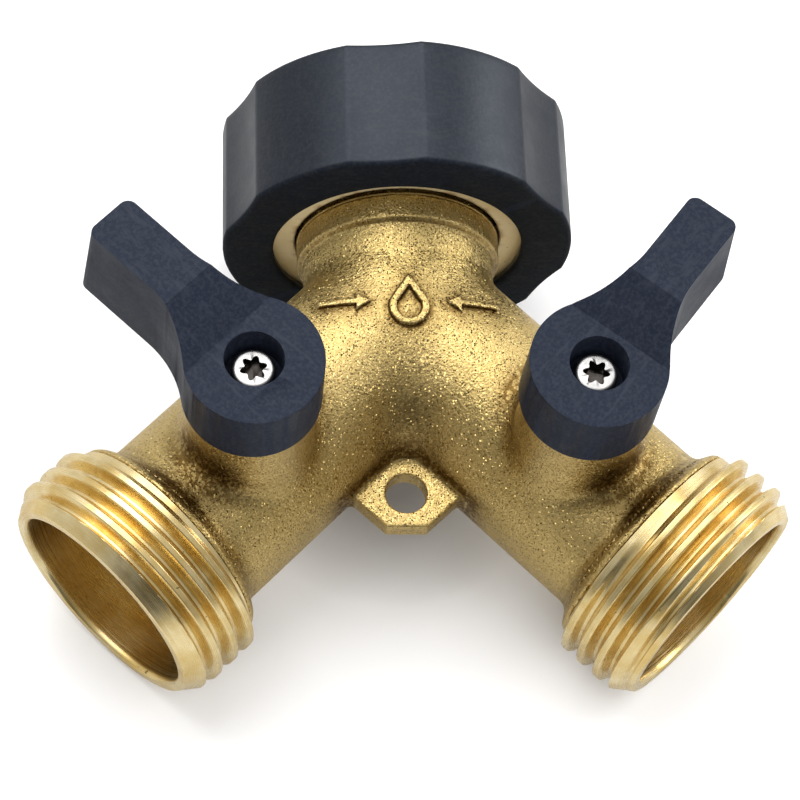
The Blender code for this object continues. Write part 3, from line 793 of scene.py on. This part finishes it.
def thread_height(angle, along, start, low, high):
    """0 in the root and 1 on the crest of a right-hand thread, faded at both ends.

    The half widths are shares of a pitch, and the fades are shares of a turn.
    """
    foot, top = 0.43, 0.13
    fade_in, fade_out = 0.25, 0.2
    turn = angle / TAU
    phase = (along - start) / THREAD_PITCH - turn
    off = np.abs(phase - np.round(phase))
    share = np.clip((foot - off) / (foot - top), 0.0, 1.0)
    share = 0.45 * share + 0.55 * share * share * (3 - 2 * share)
    crest = np.round(phase) + turn
    first, last = (low - start) / THREAD_PITCH, (high - start) / THREAD_PITCH
    fade = (np.clip((crest - first) / fade_in, 0.0, 1.0)
            * np.clip((last - crest) / fade_out, 0.0, 1.0))
    return share * fade


def outlet_end(side, name):
    """The turned end of one outlet: hose thread, mouth face and wide bore."""
    lip = 11.9
    inner = BORE_R + 0.22
    floor_r = 8.3
    hidden_s, hidden_r = 34.8, 11.3     # the back tapers, to stay inside the casting
    outline = stations([
        ((END_S, floor_r), (END_S, 10.4), 4), ((END_S, 10.4), (hidden_s, hidden_r), 4),
        ((hidden_s, hidden_r), (CAST_END_S, hidden_r), 2),
        ((CAST_END_S, hidden_r), (CAST_END_S, 11.8), 3),
        ((CAST_END_S, 11.8), (CAST_END_S + 0.2, THREAD_ROOT_R), 4),
        ((CAST_END_S + 0.2, THREAD_ROOT_R), (MOUTH_S - 0.5, THREAD_ROOT_R), 150),
        ((MOUTH_S - 0.5, THREAD_ROOT_R), (MOUTH_S - 0.05, lip + 0.05), 6),
        ((MOUTH_S - 0.05, lip + 0.05), (MOUTH_S, lip - 0.05), 2),
        ((MOUTH_S, lip - 0.05), (MOUTH_S, inner), 6),
        ((MOUTH_S, inner), (MOUTH_S - 0.25, BORE_R), 3),
        ((MOUTH_S - 0.25, BORE_R), (BORE_FLOOR_S + 0.3, BORE_R), 16),
        ((BORE_FLOOR_S + 0.3, BORE_R), (BORE_FLOOR_S, BORE_R - 0.3), 3),
        ((BORE_FLOOR_S, BORE_R - 0.3), (BORE_FLOOR_S, floor_r), 5)])

    def radius_of(angle, along, radius):
        plain = plain_radius(angle, along, radius)
        height = thread_height(angle, along, THREAD_START_S[side], FIRST_CREST_S,
                               MOUTH_S + 1.5)
        ridge = THREAD_ROOT_R + (THREAD_R - THREAD_ROOT_R) * height
        limit = lip + (MOUTH_S - along) * 0.7
        outer = (radius > lip + 0.01) & (along > CAST_END_S + 0.1)
        return np.where(outer, np.maximum(plain, np.minimum(ridge, limit)), plain)

    piece(name, ring_grid(radius_of, outline, 216), outlet_frame(side),
          "splitter_body", "turned_brass", look="threads", sharp=55)


def make_collar():
    """The turned collar and spigot that carry the nut."""
    outline = [(COLLAR_Y - 0.6, INLET_BORE_R), (COLLAR_Y - 0.6, 10.6), (COLLAR_Y, 10.6),
               (COLLAR_Y, 10.95), (10.43, 10.97), (10.43, 10.5),
               (12.7, 10.5), (12.7, 9.8), (14.7, 9.8), (14.7, 10.5), (15.35, 10.5),
               (15.7, 10.15), (15.7, INLET_BORE_R)]
    piece("neck_collar", lathe(outline, 120, 0.1), INLET, "splitter_body",
          "cast_brass", sharp=45)


def make_nut():
    """The swivel nut, with its female hose thread."""
    low, high = 10.73, 24.0
    crest, root = 12.55, 13.45
    outline = stations([
        ((low, 11.35), (low, 11.2), 1), ((low, 11.2), (low, 15.3), 8),
        ((low, 15.3), (low + 0.3, 15.6), 2), ((low + 0.3, 15.6), (high - 0.3, 15.6), 6),
        ((high - 0.3, 15.6), (high, 15.3), 2), ((high, 15.3), (high, 13.9), 4),
        ((high, 13.9), (high - 0.45, root), 3),
        ((high - 0.45, root), (low + 1.9, root), 130),
        ((low + 1.9, root), (low + 1.7, 13.2), 2),
        ((low + 1.7, 13.2), (low + 1.7, 11.35), 4),
        ((low + 1.7, 11.35), (low + 1.5, 11.2), 2), ((low + 1.5, 11.2), (low, 11.35), 2)])

    def radius_of(angle, along, radius):
        plain = plain_radius(angle, along, radius)
        height = thread_height(angle, along, 20.0, 19.6, high - 0.9)
        inner = (np.abs(radius - root) < 0.01) & (along < high - 0.4) & (along > 14.0)
        return np.where(inner, plain - (root - crest) * height, plain)

    piece("nut", ring_grid(radius_of, outline, 180), INLET, "swivel_inlet",
          "turned_brass", ("swivel_nut",), look="nut_brass", sharp=50)


GRIP_R = 18.96
GRIP_FLUTES = 6
GRIP_FLUTE_HALF = math.radians(12)
GRIP_FLUTE_DEPTH = 0.7
GRIP_PHASE = math.radians(98)


def make_grip():
    """The rubber sleeve: shallow flutes outside, a step inside around the nut."""
    low, high = 9.4, 24.3
    edge = 0.55
    outline = (
        [(low + edge * (1 - math.sin(a)), GRIP_R - edge * (1 - math.cos(a)))
         for a in np.linspace(math.pi / 2, 0, 6)]
        + [(low + 1.2 + (high - low - 2.4) * k / 8, GRIP_R) for k in range(9)]
        + [(high - edge * (1 - math.sin(a)), GRIP_R - edge * (1 - math.cos(a)))
           for a in np.linspace(0, math.pi / 2, 6)]
        + [(high, 16.6), (high, 16.1), (high - 0.2, 15.9), (10.43, 15.9), (10.43, 13.7),
           (10.3, 13.5), (low + 0.3, 13.5), (low + 0.1, 13.6), (low, 13.8), (low, 14.4),
           (low, 16.5)])

    def radius_of(angle, along, radius):
        step = TAU / GRIP_FLUTES
        # local X is the port frame's X, and local -Y is its Z
        off = (-angle - GRIP_PHASE + step / 2) % step - step / 2
        share = np.abs(off) / GRIP_FLUTE_HALF
        flute = np.where(share < 1.0, GRIP_FLUTE_DEPTH * (1 - share ** 2), 0.0)
        return plain_radius(angle, along, radius) - np.where(radius > 17.0, flute, 0.0)

    piece("grip", ring_grid(radius_of, outline, 360), INLET, "swivel_inlet",
          "black_rubber", ("nut_grip",), sharp=60)


def make_washer():
    outline = [(16.0, 7.6), (16.0, 13.1), (18.4, 13.1), (18.4, 7.6)]
    piece("washer", lathe(outline, 96, 0.5), INLET, "swivel_inlet", "seal_rubber",
          ("hose_washer",), sharp=60)


# ---- valves --------------------------------------------------------------------------
LEVER_BOTTOM = 18.0
HUB_R = 6.8
HUB_TOP = 25.3
ARM_TOP = 28.6
LEVER_LENGTH = 20.5
LEVER_HALF_WIDTH = 3.25
LEVER_DRAFT = 0.5
RAMP = (3.6, 8.7)


def lever_plan(lean):
    """Plan of the lever, its hub at the origin and its arm along +X."""
    hub_r = HUB_R + 0.1 - 0.3 * lean
    half = LEVER_HALF_WIDTH - lean
    length = LEVER_LENGTH - 2.0 * lean
    fillet = 11.0
    reach, offset = hub_r + fillet, half + fillet
    turn = math.asin(offset / reach)
    fillet_x = math.sqrt(reach ** 2 - offset ** 2)
    corner = 1.0
    hub = arc((0.0, 0.0), hub_r, turn, TAU - turn, 80)
    waist = arc((fillet_x, -offset), fillet, math.pi - turn, math.pi / 2, 16)
    tip = arc((length - corner, corner - half), corner, -math.pi / 2, 0.0, 6)
    lower = waist[1:] + tip
    return hub + lower + [(x, -y) for x, y in reversed(lower)]


def loft(low, high, low_z, high_z):
    bm = bmesh.new()
    rings = [[bm.verts.new((x, y, z)) for x, y in plan]
             for plan, z in ((low, low_z), (high, high_z))]
    for a in range(len(low)):
        b = (a + 1) % len(low)
        bm.faces.new((rings[0][a], rings[0][b], rings[1][b], rings[1][a]))
    bm.faces.new(rings[0])
    bm.faces.new(rings[1])
    return mesh_from_bm(bm)


def turned_prism(outline, half):
    """A prism along Y from an outline in (along, height)."""
    mesh = prism(outline, -half, half)
    mesh.transform(Matrix.Rotation(math.pi / 2, 4, "X"))
    return mesh


def lever_mesh():
    lean = LEVER_DRAFT * 1.1
    mesh = loft(lever_plan(0.0), lever_plan(lean), LEVER_BOTTOM, ARM_TOP + 1.0)
    side = [(-9.0, 16.0), (23.0, 16.0), (23.0, ARM_TOP), (RAMP[1], ARM_TOP),
            (RAMP[0], HUB_TOP), (-9.0, HUB_TOP)]
    mesh = boolean(mesh, turned_prism(side, 9.0), "INTERSECT")
    recess = solid_lathe([(21.3, 0.0), (21.3, 2.9), (29.0, 2.95), (29.0, 0.0)], 64)
    mesh = boolean(mesh, recess, "DIFFERENCE")
    square = 2.3
    mesh = boolean(mesh, prism([(-square, -square), (square, -square), (square, square),
                                (-square, square)], 17.0, 20.3), "DIFFERENCE")
    hole = solid_lathe([(17.5, 0.0), (17.5, 1.35), (23.0, 1.35), (23.0, 0.0)], 32)
    mesh = boolean(mesh, hole, "DIFFERENCE")
    return bevelled(mesh, 0.22, 28.0, 3)


def screw_mesh():
    """Pan head with a six-lobed socket."""
    under, head, flat_r, round_r = 21.6, 23.3, 1.7, 0.45
    shoulder = arc((head - round_r, flat_r), round_r, math.pi / 2, 0.0, 8)
    outline = [(14.0, 0.0), (14.0, 1.05), (under, 1.05), (under, flat_r + round_r)]
    mesh = solid_lathe(outline + shoulder + [(head, 0.0)], 64)
    star = [(r * math.cos(a), r * math.sin(a)) for a in np.linspace(0, TAU, 73)[:-1]
            for r in (1.12 + 0.24 * math.cos(6 * a),)]
    mesh = boolean(mesh, prism(star, head - 1.0, head + 1.0), "DIFFERENCE")
    return bevelled(mesh, 0.05, 40.0, 2)


def stem_mesh():
    outline = [(7.9, 0.0), (7.9, 3.9), (9.1, 3.9), (9.1, 3.0), (11.35, 3.0), (11.35, 1.65),
               (13.05, 1.65), (13.05, 3.0), (14.15, 3.0), (14.15, 1.65), (15.85, 1.65),
               (15.85, 3.0), (17.5, 3.0), (17.5, 0.0)]
    mesh = solid_lathe(outline, 48, 0.06)
    square = rounded([(-2.0, -2.0), (2.0, -2.0), (2.0, 2.0), (-2.0, 2.0)], 0.3)
    mesh = boolean(mesh, prism(square, 17.1, 20.0), "UNION")
    mesh = boolean(mesh, prism([(-3.0, -1.0), (3.0, -1.0), (3.0, 1.0), (-3.0, 1.0)],
                               5.6, 8.3), "UNION")
    hole = solid_lathe([(13.6, 0.0), (13.6, 1.35), (21.0, 1.35), (21.0, 0.0)], 32)
    return boolean(mesh, hole, "DIFFERENCE")


def ball_mesh():
    """Ball with its way through along X and a slot for the stem's tang."""
    bm = bmesh.new()
    bmesh.ops.create_uvsphere(bm, u_segments=64, v_segments=32, radius=7.3)
    mesh = mesh_from_bm(bm)
    way = solid_lathe([(-10.0, 0.0), (-10.0, PASSAGE_R), (10.0, PASSAGE_R), (10.0, 0.0)],
                      48)
    way.transform(Matrix.Rotation(math.pi / 2, 4, "Y"))
    mesh = boolean(mesh, way, "DIFFERENCE")
    slot = prism([(-8.0, -1.3), (8.0, -1.3), (8.0, 1.3), (-8.0, 1.3)], 5.3, 9.0)
    return bevelled(boolean(mesh, slot, "DIFFERENCE"), 0.15, 40.0, 2)


def retainer_mesh():
    """Screwed ring outside the outer seat, with a hexagon hole for its key."""
    low, high = 31.6, 34.1
    outline = [(low, PASSAGE_R), (low, 7.7), (high - 0.3, 7.7), (high, 7.4),
               (high, PASSAGE_R)]
    mesh = lathe(outline, 96, 0.08)
    key = prism(arc((0.0, 0.0), 5.6, 0.0, TAU * 5 / 6, 5), high - 1.6, high + 1.0)
    return bevelled(boolean(mesh, key, "DIFFERENCE"), 0.08, 40.0, 2)


def seat_mesh(side):
    back = VALVE_S - CHAMBER_S - 0.3
    profile = [(back, PASSAGE_R), (back, 7.7), (3.8, 7.7), (3.8, 7.0), (5.8, 5.1),
               (6.1, PASSAGE_R)]
    return lathe([(VALVE_S + side * a, r) for a, r in profile], 80, 0.08)


def make_valve(side, label, turn):
    body = label + "_valve"
    place = valve_frame(side, turn)
    piece(label + "_handle", lever_mesh(), place, body, "black_plastic",
          (label + "_lever",), sharp=14)
    piece(label + "_handle_screw", screw_mesh(), place, body, "bright_steel",
          (label + "_lever_screw",), look="screw_steel", sharp=40)
    piece(label + "_spindle", stem_mesh(), place, body, "turned_brass",
          (label + "_stem",), sharp=35)
    piece(label + "_valve_ball", ball_mesh(), place, body, "plated_ball",
          (label + "_ball",), sharp=35)
    outlet = outlet_frame(side)
    piece(label + "_retainer", retainer_mesh(), outlet, "splitter_body", "turned_brass",
          (label + "_ball_retainer",), sharp=35)
    for which, towards in (("inner", -1), ("outer", 1)):
        piece(f"{label}_seat_ring_{which}", seat_mesh(towards), outlet, "splitter_body",
              "seat_plastic", (f"{label}_seat_{which}",), sharp=40)


def dress_cad_nodes():
    """The CAD pieces that stay: rings and washers, smoothed and given their finish."""
    stays = {"retaining_ring": "bright_steel"}
    for label in ("left", "right"):
        stays[label + "_stem_o_ring_lower"] = "seal_rubber"
        stays[label + "_stem_o_ring_upper"] = "seal_rubber"
        stays[label + "_stem_washer"] = "seat_plastic"
    for name, look in stays.items():
        obj = frame["nodes"][name]
        keep_place(obj.data)
        obj.data.materials.clear()
        obj.data.materials.append(MATS[look])
        if "washer" in name:
            mod = obj.modifiers.new("edge", "BEVEL")
            mod.width = 0.00006
        else:
            obj.modifiers.new("round", "SUBSURF").levels = 1
            obj.modifiers["round"].render_levels = 2


# ---- stage ---------------------------------------------------------------------------
def make_floor():
    """A pale floor that shows white, with a painted shadow close under the object and a painted
    glow for the camera further out; it throws only a little light back up.
    """
    mat, tree, shader = new_material("floor_look", Roughness=0.7,
                                     Specular_IOR_Level=0.1)
    where = node(tree, "TexCoord").outputs["Object"]
    away = node(tree, "VectorMath", {0: where}, operation="LENGTH").outputs["Value"]
    tone = noise(tree, where, 6.0, 3.0)
    pale = mix(tree, tone, (0.91, 0.91, 0.92), (0.93, 0.93, 0.93))
    # painted shadow: the floor seen by the camera darkens to grey close under the object
    pale = mix(tree, remap(tree, away, 0.004, 0.018, 0.95, 0.0), pale, (0.34, 0.34, 0.34))
    seen = node(tree, "LightPath").outputs["Is Camera Ray"]
    tree.links.new(mix(tree, seen, (0.60, 0.60, 0.60), pale), shader.inputs["Base Color"])
    # painted light: seen by the camera the floor glows, not at all close under the object, a
    # little beyond and more far out
    painted_glow = maths(tree, "ADD", remap(tree, away, 0.013, 0.021, 0.0, 0.07),
                 remap(tree, away, 0.25, 0.80, 0.0, 0.24))
    tree.links.new(maths(tree, "MULTIPLY", seen, painted_glow), shader.inputs["Emission Strength"])
    shader.inputs["Emission Color"].default_value = (0.97, 0.97, 1.0, 1.0)
    bm = bmesh.new()
    bmesh.ops.create_circle(bm, cap_ends=True, segments=96, radius=3.0)
    mesh = mesh_from_bm(bm)
    mesh.materials.append(mat)
    floor = bpy.data.objects.new("floor", mesh)
    floor.location.z = -0.0001
    bpy.context.scene.collection.objects.link(floor)


def area_light(name, spot, target, size, power):
    data = bpy.data.lights.new(name, "AREA")
    data.shape = "RECTANGLE"
    data.size, data.size_y = size
    data.energy = power
    obj = bpy.data.objects.new(name, data)
    obj.location = spot
    aim = Vector(target) - Vector(spot)
    obj.rotation_euler = aim.to_track_quat("-Z", "Y").to_euler()
    bpy.context.scene.collection.objects.link(obj)
    return obj


def make_world():
    """A dim studio: bright behind and above, dark in front; the backdrop shows pale."""
    world = bpy.data.worlds.new("studio")
    bpy.context.scene.world = world
    world.use_nodes = True
    tree = world.node_tree
    towards = node(tree, "TexCoord").outputs["Generated"]
    slope = node(tree, "VectorMath", {0: towards, 1: (0.0, 0.50, 0.50)},
                 operation="DOT_PRODUCT").outputs["Value"]
    across = node(tree, "SeparateXYZ", {"Vector": towards}).outputs["X"]
    across = maths(tree, "MULTIPLY", maths(tree, "ABSOLUTE", across), 0.38)
    glow = maths(tree, "ADD", maths(tree, "ADD", slope, 0.26), across, clamp=True)
    glow = maths(tree, "MAXIMUM", glow, 0.10)
    seen = node(tree, "LightPath").outputs["Is Camera Ray"]
    shade = mix(tree, seen, glow, (1.16, 1.16, 1.16))
    background = tree.nodes["Background"]
    tree.links.new(shade, background.inputs["Color"])
    background.inputs["Strength"].default_value = 0.85


def make_lights():
    area_light("key", (-0.10, 0.15, 0.46), (0, 0, 0.01), (0.50, 0.40), 1.8)
    area_light("side", (0.38, 0.16, 0.26), (0, 0, 0.01), (0.24, 0.26), 0.8)
    fill = area_light("fill", (0.12, -0.32, 0.34), (0, 0, 0), (0.5, 0.4), 1.45)
    fill.visible_glossy = False


def make_camera():
    """The photograph's viewpoint, set from azimuth, elevation, roll and distance."""
    azimuth, elevation, roll = (math.radians(a) for a in (-11.744, 63.39, 11.195))
    back = Vector((math.cos(elevation) * math.sin(azimuth),
                   -math.cos(elevation) * math.cos(azimuth), math.sin(elevation)))
    level = Vector((math.cos(azimuth), math.sin(azimuth), 0.0))
    upright = back.cross(level)
    right = math.cos(roll) * level + math.sin(roll) * upright
    up = math.cos(roll) * upright - math.sin(roll) * level
    distance, across, below = 268.697, 0.017, 7.672
    place = MM * (distance * back + across * right - below * up)
    turn = Matrix((right, up, back)).transposed().to_4x4()
    data = bpy.data.cameras.new("camera")
    data.sensor_width = 36.0
    data.lens = 112.84
    data.clip_start = 0.01
    camera = bpy.data.objects.new("camera", data)
    camera.matrix_world = PORT @ Matrix.Translation(place) @ turn
    bpy.context.scene.collection.objects.link(camera)
    bpy.context.scene.camera = camera


def main():
    make_casting()
    for side, label, turn in ((-1, "left", LEFT_TURN), (1, "right", RIGHT_TURN)):
        outlet_end(side, label + "_outlet_end")
        make_valve(side, label, turn)
    make_collar()
    make_nut()
    make_grip()
    make_washer()
    dress_cad_nodes()
    make_floor()
    make_world()
    make_lights()
    make_camera()
    bpy.context.scene.view_settings.view_transform = "Standard"


main()
